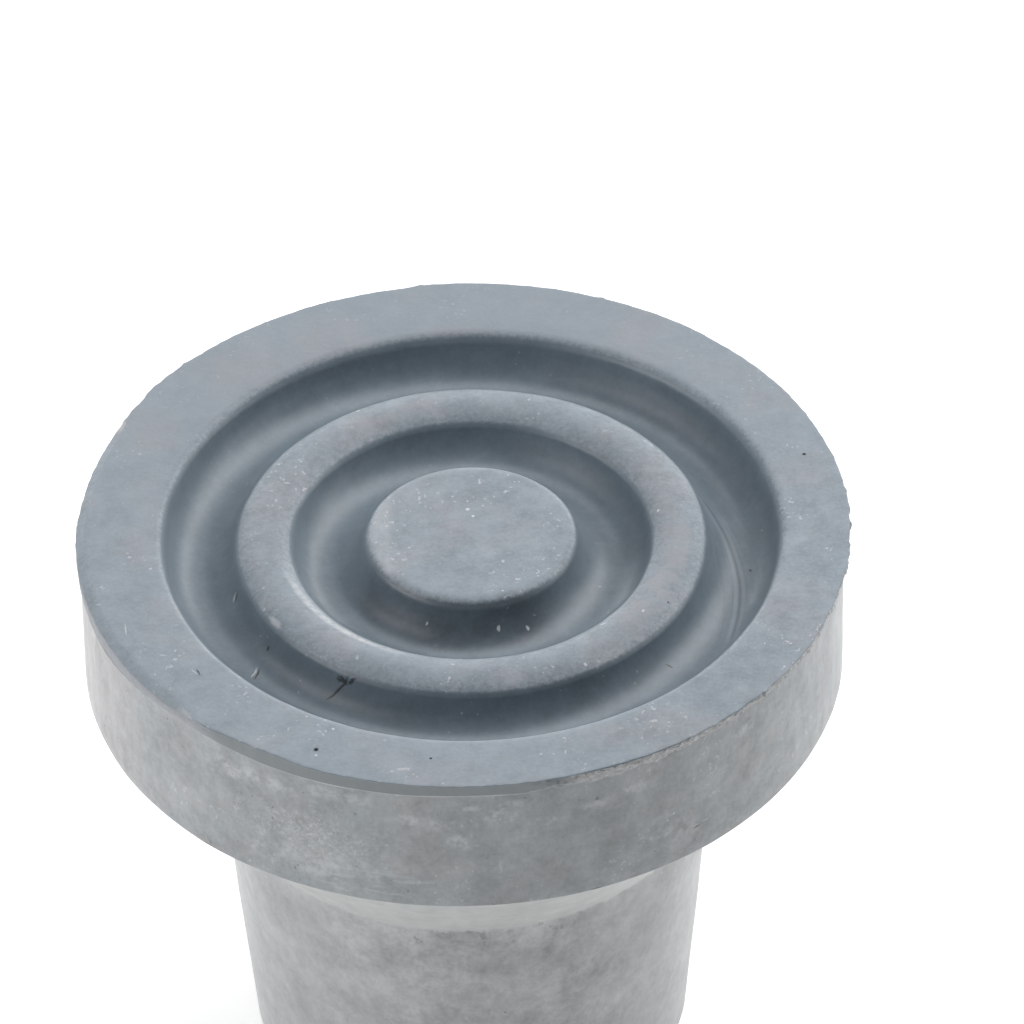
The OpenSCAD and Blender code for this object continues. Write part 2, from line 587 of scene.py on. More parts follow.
def between(value, low, high, soft):
    """A mask that is 1 between low and high and fades over soft on both sides."""
    rise = ramp(value, low - soft, low)
    fall = ramp(value, high, high + soft, 1.0, 0.0)
    return calc("MULTIPLY", rise, fall)


def mix(mask, under, over):
    """Lays the colour over on the colour under, where the mask is 1."""
    inputs = {0: mask, 6: under, 7: over}
    return add("Mix", inputs, data_type="RGBA").outputs[2]


print("node helpers ready")

# %% [markdown]
# A node group is a small graph with named sockets. Once built, it's placed in a material like a
# single node, with its own values each time.
# %% Helpers for node groups
def new_group(name, inputs, outputs):
    """An empty node group with named sockets. Returns it with its input and output nodes."""
    group = bpy.data.node_groups.new(name, "ShaderNodeTree")
    for side, sockets in (("INPUT", inputs), ("OUTPUT", outputs)):
        for socket, kind in sockets.items():
            group.interface.new_socket(socket, in_out=side, socket_type="NodeSocket" + kind)
    source, target = (group.nodes.new("NodeGroup" + end) for end in ("Input", "Output"))
    return group, source.outputs, target.inputs


def use(group, **inputs):
    """Places a node group and fills its inputs. Returns its outputs."""
    node = add("Group", node_tree=group)
    for name, value in inputs.items():
        fill(node.inputs[name.replace("_", " ").title()], value)
    return node.outputs


print("group helpers ready")

# %% [markdown]
# ## Where on the tip
# Most finishes on a turned part depend on the distance from the axis, the height and the angle
# round it. One group works these out from the object's own coordinates. Its Wrap output lays the
# side wall out flat, so that a streak can run along the wall or up it.
# %% Group: turned place
turned_place, source, target = new_group(
    "turned_place",
    {"Place": "Vector"},
    {
        "Radius": "Float",
        "Pattern Radius": "Float",
        "Height": "Float",
        "Angle": "Float",
        "Wrap": "Vector",
    },
)
tree = turned_place
parts = add("SeparateXYZ", {0: source["Place"]}).outputs
flat_place = add("CombineXYZ", {"X": parts["X"], "Y": parts["Y"]}).outputs[0]
radius = vector_calc("LENGTH", flat_place)
pattern_place = vector_calc("SUBTRACT", flat_place, (pattern_x, pattern_y, 0))
pattern_radius = vector_calc("LENGTH", pattern_place)
turn_angle = calc("ARCTAN2", parts["Y"], parts["X"])
wrap_x = calc("MULTIPLY", turn_angle, tread_r)
wrap = add("CombineXYZ", {"X": wrap_x, "Y": parts["Z"]}).outputs[0]
fill(target["Radius"], radius)
fill(target["Pattern Radius"], pattern_radius)
fill(target["Height"], parts["Z"])
fill(target["Angle"], calc("DEGREES", turn_angle))
fill(target["Wrap"], wrap)
print("group", turned_place.name)

# %% [markdown]
# ## Noises and flecks
# Handled rubber is never one flat grey, yet all its finishes can share the same few noises, which
# keeps the graph small and quick. Each noise is centred on nothing. Mottle is equally strong at every
# size of detail, and makes a tone a touch lighter here and darker there. Clouds and Patches are slow,
# Soft and Rough break up the borders of stains, and Edge and Crumbs are the finest.
# %% Group: the shared noises
noises_group, source, target = new_group(
    "rubber_noises",
    {"Place": "Vector", "Mottle Grain": "Float"},
    {name: "Float" for name in ("Mottle", "Clouds", "Patches", "Soft", "Rough", "Edge", "Crumbs")},
)
SHARED_NOISES = {
    # name: scale, detail, roughness
    "Mottle": (source["Mottle Grain"], 4.5, 0.9),
    "Clouds": (205.0, 3.0, 0.58),
    "Patches": (290.0, 2.0, 0.55),
    "Soft": (700.0, 3.0, 0.7),
    "Rough": (1500.0, 3.0, 0.7),
    "Edge": (3200.0, 2.5, 0.8),
    "Crumbs": (2700.0, 1.5, 0.6),
}
tree = noises_group
for name, (scale, detail, roughness) in SHARED_NOISES.items():
    inputs = {"Vector": source["Place"], "Scale": scale, "Detail": detail, "Roughness": roughness}
    value = add("TexNoise", inputs).outputs[0]
    fill(target[name], calc("SUBTRACT", value, 0.5))
print("group", noises_group.name, "with", len(SHARED_NOISES), "noises")

# %% [markdown]
# Flecks are crumbs of dust and tiny scuffs. Only the highest peaks of a fine noise are kept, so each
# fleck has its own ragged shape, and a slower noise gathers them in patches. A mark is one short
# scratch, fibre or crumb at a stated place: a drawn-out ball, as long as the mark and as thin as it.
# %% Groups: flecks and one short mark
flecks_group, source, target = new_group(
    "flecks", {"Crumbs": "Float", "Patches": "Float", "Rare": "Float"}, {"Mask": "Float"}
)
tree = flecks_group
gathered = ramp(source["Patches"], -0.01, 0.11)
limit = calc("MULTIPLY_ADD", gathered, -0.05, source["Rare"])
peaks = ramp(source["Crumbs"], limit, calc("ADD", limit, 0.045))
strength = calc("MULTIPLY_ADD", gathered, 0.75, 0.25)
fill(target["Mask"], calc("MULTIPLY", peaks, strength))

mark_group, source, target = new_group(
    "short_mark",
    {"Place": "Vector", "Middle": "Vector", "Way": "Vector", "Shorten": "Float", "Width": "Float"},
    {"Mask": "Float"},
)
tree = mark_group
away = vector_calc("SUBTRACT", source["Place"], source["Middle"])
along = vector_calc("PROJECT", away, source["Way"])
drawn_in = vector_calc("MULTIPLY_ADD", along, source["Shorten"], away)
gap = vector_calc("LENGTH", drawn_in)
core = calc("MULTIPLY", source["Width"], 0.4)
fill(target["Mask"], ramp(gap, core, source["Width"], 1.0, 0.0))
print("groups", [group.name for group in bpy.data.node_groups])

# %% [markdown]
# ## The rubber
# One moulding, but several finishes. The level places that were handled, the rim, the ring's crest
# and the button, are matt and dusty. The grooves keep the smooth dark skin of the mould. The side
# wall and the neck carry the pale bloom, most of all where the neck flares, and are painted paler
# still as painted light, for the light the white floor throws up on them. The clean cut of the lip
# shows fresh darker rubber, and the torn part is rough and speckled.
# %% Colours
def grey(red, green, blue):
    """A colour from the 0 to 255 numbers of a colour picker, as the linear values nodes use."""
    channels = [value / 255 for value in (red, green, blue)]
    linear = [c / 12.92 if c <= 0.04045 else ((c + 0.055) / 1.055) ** 2.4 for c in channels]
    return (*linear, 1.0)


dusty_flat = grey(155, 165, 174)
warm_dust = grey(165, 166, 171)
handled_dust = grey(176, 174, 178)
groove_skin = grey(114, 128, 139)
flow_highlight = grey(146, 156, 166)
# Painted light: the wall, neck and flare colours below are paler than the flats, partly for a pale bloom
# and partly as painted bounce light from the white floor.
wall_bloom_and_bounce = grey(173, 179, 183)
wall_warm = grey(176, 176, 178)
neck_bloom_and_bounce = grey(197, 199, 201)
neck_shade = grey(184, 187, 188)
film = grey(198, 199, 200)
flare_film_and_bounce = grey(211, 213, 213)
flare_green = grey(208, 214, 213)
cut_rubber = grey(145, 151, 154)
torn_rubber = grey(188, 189, 190)
lip_rubber = grey(156, 161, 167)
hanging_rubber = grey(130, 131, 133)
pale_dust = grey(216, 219, 222)
dark_grit = grey(70, 75, 80)
brown_dirt = grey(128, 126, 122)
black_fibre = grey(12, 15, 20)
print("colours mixed, the rim is", [round(channel, 3) for channel in dusty_flat[:3]])

# %% [markdown]
# Every finish is painted the same way: a base colour, a tone that makes it lighter or darker, and
# then layers laid over it through masks. A mask is 1 where a layer lies and 0 elsewhere, so several
# conditions are multiplied. These helpers say that in a word each.
# %% Helpers of the rubber
rubber = bpy.data.materials.new("rubber")
rubber.use_nodes = True
tree = rubber.node_tree
shader = tree.nodes["Principled BSDF"]


def times(*values):
    """Several masks multiplied together."""
    total = values[0]
    for value in values[1:]:
        total = calc("MULTIPLY", total, value)
    return total


def noise_of(vector, scale, detail, roughness):
    """A noise of this material alone, centred on nothing."""
    inputs = {"Vector": vector, "Scale": scale, "Detail": detail, "Roughness": roughness}
    return calc("SUBTRACT", add("TexNoise", inputs).outputs[0], 0.5)


def mix_value(mask, under, over):
    """The value over where the mask is 1, and under where it is 0."""
    return add("Mix", {0: mask, 2: under, 3: over}).outputs[0]


def toned(colour, tone):
    """The colour made lighter or darker by a tone around 0."""
    if not isinstance(colour, bpy.types.NodeSocket):
        colour = colour[:3]
    inputs = {0: colour, "Scale": calc("ADD", tone, 1.0)}
    return add("VectorMath", inputs, operation="SCALE").outputs[0]


def stretched(vector, x, y, turn=0.0):
    """The place squeezed along X and Y, so that a noise on it is drawn out the other way."""
    inputs = {"Vector": vector, "Rotation": (0, 0, turn), "Scale": (x, y, 1.0)}
    return add("Mapping", inputs).outputs[0]


def flecked(crumbs, patches, rare):
    """The mask of the flecks group."""
    return use(flecks_group, crumbs=crumbs, patches=patches, rare=rare)["Mask"]


print("material", rubber.name)

# %% [markdown]
# The masks come first. The level attribute tells the flats from the grooves, and a fine noise
# breaks up the border, where dust thins out into specks. Radius, height and angle tell the rest.
# The flange's underside is a little wavy, so height alone can't tell it from the wall above it, and
# whatever lies inside the wall and well below the tread also counts as the neck.
# %% Rubber: where each finish lies
place = add("TexCoord").outputs["Object"]
spot = use(turned_place, place=place)
radius, pattern_radius = spot["Radius"], spot["Pattern Radius"]
height, angle, wrap = spot["Height"], spot["Angle"], spot["Wrap"]
sideways = add("SeparateXYZ", {0: place}).outputs
level_here = add("Attribute", attribute_name="level").outputs["Fac"]
lip_here = add("Attribute", attribute_name="lip").outputs["Fac"]

below_face = calc("LESS_THAN", height, face_z - 0.06 * MM)
inside_wall_r = 24.2 * MM
outer = times(ramp(radius, inside_wall_r, inside_wall_r + 0.1 * MM), below_face)
inside_wall = calc("LESS_THAN", radius, inside_wall_r)
under_flange = times(inside_wall, calc("LESS_THAN", height, face_z - 5 * MM))
below_flange = calc("LESS_THAN", height, underside_z + 0.02 * MM)
neck_mask = calc("MAXIMUM", below_flange, under_flange)
side_mask = calc("MAXIMUM", outer, neck_mask)
mottle_grain = mix_value(side_mask, 420.0, mix_value(neck_mask, 300.0, 240.0))
noises = use(noises_group, place=place, mottle_grain=mottle_grain)
mottle, clouds, patches = noises["Mottle"], noises["Clouds"], noises["Patches"]
soft, rough, edge, crumbs = noises["Soft"], noises["Rough"], noises["Edge"], noises["Crumbs"]

high_up = ramp(height, face_z - 1.3 * MM, face_z - 1.1 * MM)
breaking = ramp(level_here, 0.96, 0.999, 0.5, 0.1)
broken = calc("MULTIPLY_ADD", edge, breaking, level_here)
flat_mask = times(ramp(broken, 0.6, 0.985), high_up)
lip_mask = times(ramp(lip_here, 0.3, 0.7), below_face)
cut_mask = times(lip_mask, between(angle, CLEAN_CUT[0] + 1, CLEAN_CUT[1] - 1, 5.0))
torn_mask = times(lip_mask, between(angle, TORN[0] + 1, TORN[1], 5.0))
flare_edge = calc("MULTIPLY_ADD", soft, 1.3 * MM, height)
flare_mask = times(ramp(flare_edge, flare_z - 0.15 * MM, flare_z + 0.3 * MM), neck_mask)
print("masks made")

# %% [markdown]
# The flats are dusty: a mottle, a slow drift towards a warmer grey, and scattered pale flecks. The
# front half was handled more, so the fine marks are stronger there. The ring and the button, which
# take the load, are the most marked of all, and the ring has two stretches of warmer, paler dust.
# %% Rubber: colour of the flats
front = ramp(sideways["Y"], -4 * MM, 16 * MM, 1.15, 0.5)
right = ramp(sideways["X"], 8 * MM, 22 * MM, 1.0, 1.5)
central = ramp(pattern_radius, 17.5 * MM, 15.5 * MM)
busy = mix_value(central, times(front, right), 1.5)
drift = ramp(clouds, -0.05, 0.15)
on_ring = times(central, ramp(pattern_radius, 9.0 * MM, 10.0 * MM))
# The rim is a touch lighter at the right and back right, and darker at the front right.
rim_side_tone = calc(
    "SUBTRACT",
    times(between(angle, -2.0, 45.0, 20.0), 0.03),
    times(between(angle, -62.0, -45.0, 16.0), 0.035),
)
flat_tone = mix_value(on_ring, mix_value(central, rim_side_tone, 0.012), -0.035)
flat_tone = calc("MULTIPLY_ADD", times(mottle, busy), 0.6, flat_tone)
flat_colour = mix(times(drift, 0.45), dusty_flat, warm_dust)
flat_colour = toned(flat_colour, flat_tone)
flat_flecks = times(flecked(crumbs, patches, 0.2), busy)
flat_colour = mix(times(flat_flecks, 0.4), flat_colour, pale_dust)
large_flecks = times(flecked(rough, patches, 0.2), busy)
flat_colour = mix(times(large_flecks, 0.22), flat_colour, pale_dust)
warm_side = calc(
    "MAXIMUM",
    between(angle, -33.0, -6.0, 14.0),
    times(between(angle, 104.0, 118.0, 12.0), 0.7),
)
warm_side = times(warm_side, between(pattern_radius, 12.7 * MM, 13.9 * MM, 0.6 * MM))
warm_side = times(warm_side, ramp(soft, -0.2, 0.1))
flat_colour = mix(times(warm_side, 0.5), flat_colour, handled_dust)
print("flats done")

# %% [markdown]
# Two edges are paler than the rest, partly dust packed against them and partly a painted highlight
# where they catch the light: the ring's inner edge at the front left, and the left edge of the button.
# A ragged noise keeps each from looking painted on.
# %% Rubber: packed dust and painted highlights on two edges
ragged_dust = ramp(rough, -0.2, 0.1)
# Painted highlight and dust: the ring's inner edge at the front left.
ring_dust_and_highlight = times(
    between(pattern_radius, 12.2 * MM, 12.4 * MM, 0.3 * MM),
    between(angle, -150.0, -122.0, 20.0),
    calc("MULTIPLY_ADD", ragged_dust, 0.6, 0.4),
)
on_button = calc("LESS_THAN", pattern_radius, 6.8 * MM)
# Painted highlight and dust: the button's left edge.
button_dust_and_highlight = times(
    between(sideways["X"], -6.2 * MM, -4.9 * MM, 0.7 * MM),
    on_button,
    calc("MULTIPLY_ADD", ragged_dust, 0.5, 0.3),
)
button_cloud = times(
    ramp(sideways["X"], 2.5 * MM, -4.0 * MM),
    ramp(sideways["Y"], -3.0 * MM, 3.0 * MM),
    on_button,
    ramp(soft, -0.25, 0.1),
)
flat_colour = mix(times(ring_dust_and_highlight, 0.65), flat_colour, pale_dust)
flat_colour = mix(times(button_dust_and_highlight, 0.35), flat_colour, pale_dust)
flat_colour = mix(times(button_cloud, 0.2), flat_colour, handled_dust)
print("packed dust laid")

# %% [markdown]
# The grooves are clean mould skin. They are painted a little darker as painted shade at the foot of
# the button and the ring in front, and at the front right. The rubber flowed round them and left faint
# lines. At the right, where two flows met, the lines are plain, and lean across the groove from its
# inner to its outer side; their gleam is painted, pale lines as painted highlights and one dark line
# as a painted shadow. Adding a share of the angle to the radius makes a noise lean in the same way.
# %% Rubber: colour of the grooves
leaning = calc("MULTIPLY_ADD", angle, 0.058 * MM, pattern_radius)
along_groove = calc("MULTIPLY", angle, 0.012 * MM)
lean_place = add("CombineXYZ", {"X": leaning, "Y": along_groove}).outputs[0]
flow = noise_of(lean_place, 2300.0, 2.0, 0.7)
flow_meets = times(
    between(angle, -22.0, 20.0, 8.0),
    between(leaning, 15.6 * MM, 18.2 * MM, 0.7 * MM),
)
flow_tone = times(flow, calc("MULTIPLY_ADD", flow_meets, 0.5, 0.15))
# Painted shade: darker at the foot of the button and of the ring on the front side.
in_shade = between(angle, -140.0, -65.0, 28.0)
painted_shade_foot = calc(
    "MULTIPLY_ADD",
    between(pattern_radius, 6.8 * MM, 8.0 * MM, 1.0 * MM),
    -0.34,
    times(between(pattern_radius, 15.2 * MM, 16.2 * MM, 1.0 * MM), -0.16),
)
groove_tone = calc("MULTIPLY_ADD", in_shade, painted_shade_foot, flow_tone)
# Painted shade: the grooves are painted darker at the front right as well.
painted_shade_right = between(angle, -58.0, 2.0, 20.0)
groove_tone = calc("MULTIPLY_ADD", painted_shade_right, -0.11, groove_tone)
groove_colour = toned(groove_skin, calc("MULTIPLY_ADD", mottle, 0.7, groove_tone))
flow_bend = calc("MULTIPLY_ADD", clouds, 0.35 * MM, leaning)
# Painted highlight and painted shadow: the pale flow lines are painted highlights, the dark one a
# painted shadow.
flow_line_highlight = calc(
    "MAXIMUM",
    between(flow_bend, 16.58 * MM, 16.7 * MM, 0.14 * MM),
    times(between(flow_bend, 17.08 * MM, 17.17 * MM, 0.12 * MM), 0.6),
)
flow_shadow = between(flow_bend, 16.86 * MM, 16.93 * MM, 0.08 * MM)
groove_colour = mix(times(flow_line_highlight, flow_meets, 0.5), groove_colour, flow_highlight)
groove_colour = mix(times(flow_shadow, flow_meets, 0.3), groove_colour, dark_grit)
groove_colour = mix(times(flecked(crumbs, patches, 0.26), 0.35), groove_colour, pale_dust)
tread_colour = mix(flat_mask, groove_colour, flat_colour)
print("grooves done")

# %% [markdown]
# The wall has the film in upright streaks at both sides, where it was least rubbed. At the front it
# is rubbed thin, and there are cloudy scuffs: one dense patch of curly fine scratches, short level
# strokes low down, and soft smudges under the lip. The neck's streaks lean instead. One noise draws
# both, on a place that is squeezed in one way on the wall and in another on the neck. The angle
# jumps from 180 to -180 at the left, so what changes there goes by its size alone, with no sign.
# %% Rubber: streaks and film of the wall
from_front = calc("ADD", angle, 88.0)
from_right = calc("ABSOLUTE", angle)
seen_side = calc("COSINE", calc("RADIANS", from_front))
at_sides = ramp(seen_side, 0.85, 0.3)
streak_place = add(
    "Mix",
    {0: neck_mask, 4: stretched(wrap, 620.0, 80.0, 0.12), 5: stretched(wrap, 240.0, 80.0, 0.6)},
    data_type="VECTOR",
).outputs[1]
streaks = noise_of(streak_place, 1.0, 3.0, 0.66)
level_streaks = noise_of(stretched(wrap, 0.12, 1.0), 1600.0, 2.0, 0.6)
wall_drift = ramp(clouds, -0.08, 0.12)
far_warm = ramp(from_right, 138.0, 158.0)
wall_drift = calc("MAXIMUM", times(wall_drift, 0.6), far_warm)
# Painted light: the wall's base colours are a pale bloom and painted bounce light from the floor.
wall_colour = mix(wall_drift, wall_bloom_and_bounce, wall_warm)
wall_tone = calc("MULTIPLY_ADD", mottle, 1.25, times(level_streaks, 0.08))
# Painted shade: the wall's colour is made darker towards its far left side.
far_left_painted_shade = ramp(from_right, 156.0, 178.0, 0.0, -0.14)
wall_colour = toned(wall_colour, calc("ADD", wall_tone, far_left_painted_shade))
bloom = ramp(patches, 0.0, 0.2)
upright_film = times(ramp(streaks, -0.05, 0.16), at_sides, 0.4)
wall_colour = mix(calc("MULTIPLY_ADD", bloom, 0.25, upright_film), wall_colour, film)
print("film laid on the wall")

# %% [markdown]
# Each scuff and smudge is an oval on the wall, given by its angle, its height in millimetres and its
# two half sizes. Its reach is 0 at its middle and 1 at its edge. The least reach of all the smudges
# makes one mask, to which a noise gives ragged edges, and a weaker smudge starts further out.
# %% Rubber: scuffs of the wall
wall_spot = add("CombineXYZ", {"X": angle, "Y": height}).outputs[0]


def reach_of(middle_angle, middle_z, half_angle, half_z, start=0.0):
    """How far a place is from the middle of an oval on the wall, in half sizes."""
    squeeze = Vector((1 / half_angle, 1 / (half_z * MM), 0))
    shift = Vector((-middle_angle / half_angle, -middle_z / half_z, start))
    return vector_calc("LENGTH", vector_calc("MULTIPLY_ADD", wall_spot, squeeze, shift))


def ragged_oval(reach):
    """The mask inside an oval, its edge broken by the soft noise."""
    return ramp(calc("MULTIPLY_ADD", soft, 2.2, reach), 0.3, 1.3, 1.0, 0.0)


SMUDGES = [
    # angle, height, half angle, half height, start
    (-124.0, 37.6, 9.0, 0.9, 0.3),
    (-112.0, 32.0, 12.0, 1.6, 0.5),
    (-108.0, 38.1, 9.0, 0.6, 0.5),
    (-98.5, 36.9, 4.5, 0.5, 0.4),
    (-94.0, 36.6, 2.4, 0.7, 0.4),
    (-91.0, 35.2, 1.9, 0.6, 0.0),
    (-89.0, 38.0, 1.7, 0.3, 0.1),
    (-85.5, 37.3, 2.6, 0.6, 0.3),
    (-83.0, 38.2, 2.2, 0.4, 0.1),
    (-77.5, 36.4, 3.4, 0.4, 0.2),
    (-70.5, 37.0, 2.0, 0.4, 0.1),
    (-64.0, 37.4, 2.0, 0.5, 0.4),
    (-44.0, 37.6, 2.6, 0.5, 0.3),
    (-58.0, 32.6, 6.0, 1.8, 0.6),
]
print("smudges", len(SMUDGES))

# %% [markdown]
# All scuffs are pale, so they are laid in one loop. Sparse dark specks come after them, and a pale
# line along the wall's lower edge, left and right of the front.
# %% Rubber: scuffs laid on the wall
nearest = reach_of(*SMUDGES[0])
for smudge in SMUDGES[1:]:
    nearest = calc("MINIMUM", nearest, reach_of(*smudge))
smudged = times(ragged_oval(nearest), ramp(rough, -0.14, 0.1))
scuff_patch = ragged_oval(reach_of(-114.0, 34.2, 12.0, 2.2))
low_patch = ragged_oval(reach_of(-104.0, 31.0, 13.0, 1.2))
curls = ramp(calc("ABSOLUTE", rough), 0.0, 0.05, 1.0, 0.0)
scratched = calc("MAXIMUM", times(curls, 0.3), times(ramp(edge, -0.02, 0.14), 0.6))
PALE_SCUFFS = (
    times(scuff_patch, scratched),
    times(low_patch, ramp(level_streaks, 0.03, 0.12), 0.45),
    times(smudged, 0.6),
    times(flecked(crumbs, patches, 0.17), 0.5),
)
for scuff in PALE_SCUFFS:
    wall_colour = mix(scuff, wall_colour, pale_dust)
low_crumbs, low_patches = (calc("MULTIPLY", value, -1.0) for value in (crumbs, patches))
wall_colour = mix(times(flecked(low_crumbs, low_patches, 0.23), 0.4), wall_colour, dark_grit)
foot_edge = between(height, underside_z + 0.02 * MM, underside_z + 0.09 * MM, 0.04 * MM)
foot_sides = between(calc("ABSOLUTE", from_front), 20.0, 52.0, 8.0)
wall_colour = mix(times(foot_edge, foot_sides, 0.8), wall_colour, flare_green)
print("wall done")

# %% [markdown]
# The neck was least handled. Its film is cloudy, with a few paler strokes that lean, and the bare
# rubber shows a little darker between them. The flare under the flange keeps a thick pale film with
# level streaks, and a fine ridge and some dirt lie where the flare begins. The neck and, most of all,
# the flare, which faces down to the floor, are also painted paler as painted bounce light from the
# floor.
# %% Rubber: colour of the neck
neck_clouds = ramp(clouds, -0.1, 0.12)
neck_mottle = ramp(seen_side, 0.7, 0.97, 0.95, 1.55)
neck_colour = mix(times(neck_clouds, 0.4), neck_bloom_and_bounce, neck_shade)
neck_colour = toned(neck_colour, calc("MULTIPLY_ADD", mottle, neck_mottle, times(soft, 0.16)))
neck_colour = mix(times(ramp(streaks, 0.0, 0.22), 0.3), neck_colour, film)
# Painted shade: the neck's colour is made darker towards its sides.
neck_colour = toned(neck_colour, ramp(seen_side, 0.95, 0.6, 0.0, -0.08))
neck_colour = mix(times(flecked(crumbs, patches, 0.2), 0.45), neck_colour, pale_dust)
print("neck done")

# %% Rubber: flare, ridge and dirt
flare_top = ramp(height, flare_z + 2.2 * MM, flare_z + 5.0 * MM)
flare_colour = mix(flare_top, flare_film_and_bounce, flare_green)
flare_tone = calc("MULTIPLY_ADD", level_streaks, 0.3, times(soft, 0.35))
flare_left = ramp(from_right, 104.0, 128.0, 0.04, -0.05)
flare_tone = calc("ADD", flare_tone, flare_left)
neck_colour = mix(flare_mask, neck_colour, toned(flare_colour, flare_tone))
ridge_line = between(flare_edge, flare_z - 0.02 * MM, flare_z + 0.12 * MM, 0.14 * MM)
ridge_side = between(angle, -108.0, -70.0, 14.0)
neck_colour = mix(times(ridge_line, ridge_side, 0.6), neck_colour, pale_dust)
dirt_place = between(height, flare_z - 1.2 * MM, flare_z - 0.3 * MM, 0.6 * MM)
dirt_side = between(angle, -102.0, -70.0, 10.0)
dirt = times(ramp(rough, -0.02, 0.1), ramp(soft, -0.05, 0.1))
neck_colour = mix(times(dirt, dirt_place, dirt_side, 0.45), neck_colour, brown_dirt)
print("flare done")

# %% [markdown]
# The lip shows four kinds of rubber. The clean cut is fresh and dark, with a fine pale line where it
# meets the wall, which is a painted highlight. The torn part is a jumble of dark pits, most of them
# close under the face, and pale nibs: the pits are dark grit and painted shade, the nibs pale rubber
# and painted highlights. At the left the hanging flash is as dusty as the face, painted paler where it
# stands upright to even out its shade, and only its lower part is browner.
# %% Rubber: lip
depth = calc("SUBTRACT", face_z, height)
near_face = ramp(depth, 0.1 * MM, 0.5 * MM, 1.0, 0.15)
# Nibs are pale rubber with painted highlights; pits are dark grit with painted shade under the face's
# edge.
nibs_and_highlights = ramp(crumbs, 0.02, 0.12)
pits_and_shade = ramp(edge, -0.03, -0.14)
torn_colour = toned(torn_rubber, times(edge, 0.6))
torn_colour = mix(times(pits_and_shade, near_face, 0.5), torn_colour, dark_grit)
torn_colour = mix(times(nibs_and_highlights, 0.6), torn_colour, pale_dust)
lip_colour = mix(torn_mask, toned(lip_rubber, times(edge, 0.6)), torn_colour)
lip_colour = mix(cut_mask, lip_colour, toned(cut_rubber, times(streaks, 0.25)))
at_left = calc("MAXIMUM", ramp(angle, -129.0, -136.0), ramp(angle, 150.0, 165.0))
# Painted light: the hanging flash is painted paler where it stands upright, to even out its shade
# against the face.
upright = ramp(level_here, 0.1, 0.9, 1.0, 0.0)
hanging_colour = mix(times(upright, 0.55), flat_colour, handled_dust)
hanging_colour = toned(hanging_colour, calc("MULTIPLY_ADD", upright, -0.02, times(edge, 0.3)))
lower_part = times(ramp(depth, 1.0 * MM, 1.8 * MM, 0.0, 0.9), upright)
hanging_colour = mix(lower_part, hanging_colour, hanging_rubber)
lip_colour = mix(at_left, lip_colour, hanging_colour)
# Painted highlight: a fine pale line at the foot of the clean cut.
cut_foot_highlight = times(between(lip_here, 0.1, 0.4, 0.08), between(angle, -116.0, -86.0, 14.0))
side_colour = mix(neck_mask, wall_colour, neck_colour)
# Painted shade: the wall and the neck are painted darker towards the far right side.
far_right_painted_shade = ramp(from_right, 32.0, 6.0, 0.0, -0.2)
side_colour = toned(side_colour, far_right_painted_shade)
side_colour = mix(lip_mask, side_colour, lip_colour)
side_colour = mix(times(cut_foot_highlight, below_face, 0.55), side_colour, pale_dust)
print("lip done")

# %% [markdown]
# Last come the single marks, each at its own place: a black fibre and a few specks stuck in the
# grooves and on the rim, some pale crumbs, scratches and pits, and pale strokes beside some fibres,
# which are painted highlights on them. Places are in millimetres from the tip's axis and its mouth.
# On the tread they are given in plan, with no height. The marks' own place is pushed about a little
# by the noises, so that they bend and don't look ruled.
# %% Rubber: single marks
MARKS = []
push = add("CombineXYZ", {0: rough, 1: soft, 2: edge}).outputs[0]
push_most = 0.35 * MM
bent_place = vector_calc("MULTIPLY_ADD", push, (push_most, push_most, push_most), place)
in_plan = vector_calc("MULTIPLY", bent_place, (1, 1, 0))


def put_mark(colour, start, end, width, paint, strength=1.0):
    """Lays one mark between two places over a colour. Two numbers are a place on the tread."""
    seen_place = in_plan if len(start) == 2 else bent_place
    start, end = (Vector((*spot, 0)[:3]) * MM for spot in (start, end))
    half_length = (end - start).length / 2
    way = (end - start).normalized()
    mask = use(
        mark_group,
        place=seen_place,
        middle=(start + end) / 2,
        way=way,
        shorten=width * MM / half_length - 1,
        width=width * MM,
    )["Mask"]
    mask = times(mask, strength) if strength < 1 else mask
    MARKS.append(mask)
    return mix(mask, colour, paint)


def speck(colour, spot, width, paint, strength=1.0):
    """Lays one round crumb, pit or dot over a colour. Two numbers are a place on the tread."""
    seen_place = in_plan if len(spot) == 2 else bent_place
    gap = vector_calc("DISTANCE", seen_place, Vector((*spot, 0)[:3]) * MM)
    mask = ramp(gap, width * 0.4 * MM, width * MM, strength, 0.0)
    MARKS.append(mask)
    return mix(mask, colour, paint)


print("marks pushed by up to", push_most / 2 / MM, "mm")

